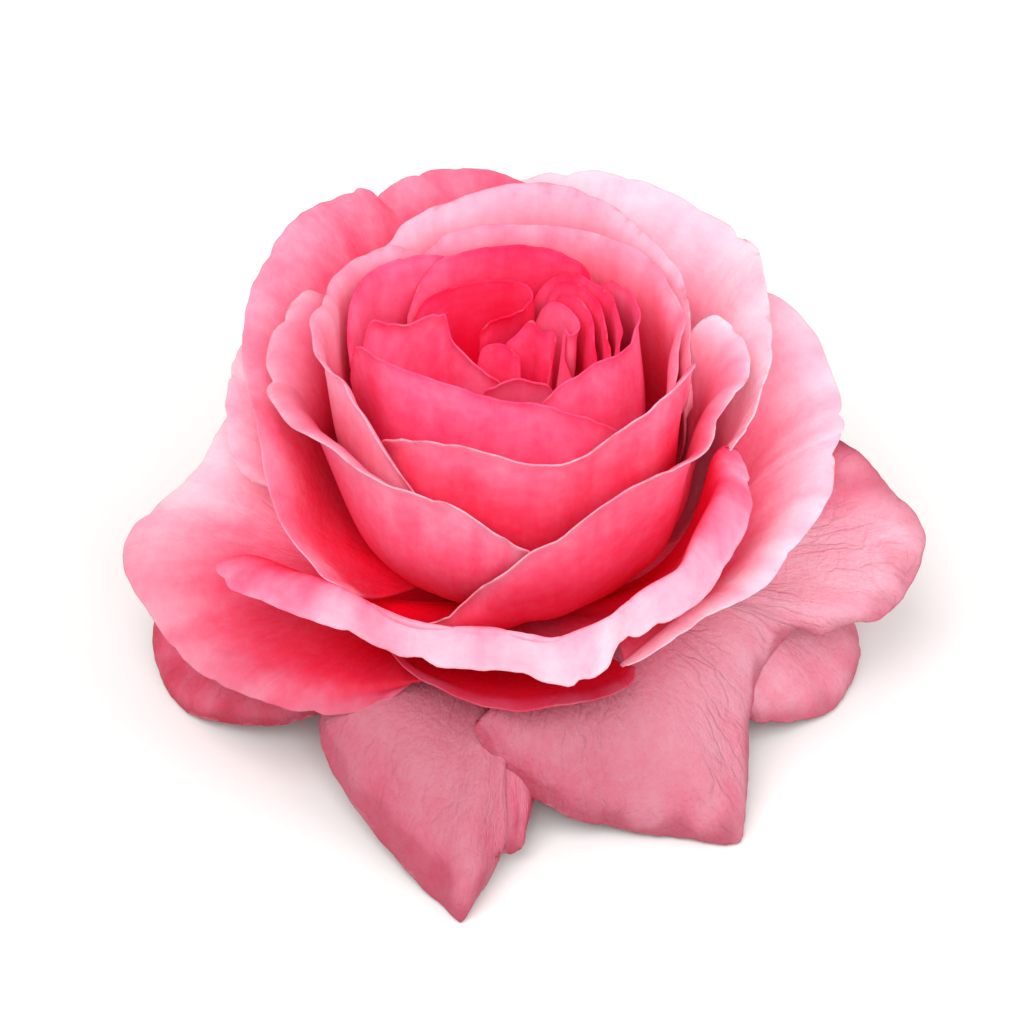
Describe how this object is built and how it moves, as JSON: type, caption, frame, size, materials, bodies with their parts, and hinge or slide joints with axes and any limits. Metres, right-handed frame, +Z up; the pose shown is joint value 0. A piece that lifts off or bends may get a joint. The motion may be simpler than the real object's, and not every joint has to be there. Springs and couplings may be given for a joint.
{
  "type": "rose bloom",
  "caption": "Full double garden rose head with ruffled overlapping petals, reflexed guard petals and sepals, cut just under the hip, resting upright.",
  "frame": {"origin": "middle of the bounding box at its base, close to the centre of the cut end under the hip", "axes": "+Z up along the bloom's axis, -Y towards the front, +X to the right"},
  "size_m": [0.1016, 0.0888, 0.0598],
  "materials": {
    "petal_guard": "matt, velvety",
    "petal_outer": "matt, velvety",
    "petal_cup": "matt, velvety",
    "petal_heart": "matt, velvety",
    "sepal": "matt",
    "hip": "satin",
    "style": "matt"
  },
  "bodies": {
    "root": {"guard_left": "petal_guard", "guard_right_low": "petal_guard", "guard_back_right": "petal_guard", "guard_back_left": "petal_guard", "guard_front_left": "petal_guard", "guard_front_right": "petal_guard", "left_wide": "petal_outer", "back_left_outer": "petal_outer", "back_right_outer": "petal_outer", "front_under": "petal_outer", "right_wide": "petal_outer", "front_lip": "petal_outer", "back_right": "petal_outer", "back_left": "petal_outer", "left_side": "petal_outer", "right_front": "petal_cup", "left_front": "petal_cup", "back_light": "petal_cup", "left_inner": "petal_cup", "front_mid": "petal_cup", "back_mid": "petal_cup", "left_mid": "petal_heart", "front_inner": "petal_heart", "right_inner": "petal_heart", "back_inner": "petal_heart", "right_nest_1": "petal_heart", "right_nest_2": "petal_heart", "right_nest_3": "petal_heart", "heart_back": "petal_heart", "left_fan": "petal_heart", "heart_face": "petal_heart", "heart_cave": "petal_heart", "heart_front": "petal_heart", "heart_lobe": "petal_heart", "sepal_1": "sepal", "sepal_2": "sepal", "sepal_3": "sepal", "sepal_4": "sepal", "sepal_5": "sepal", "receptacle": "hip", "styles": "style"}
  },
  "joints": []
}
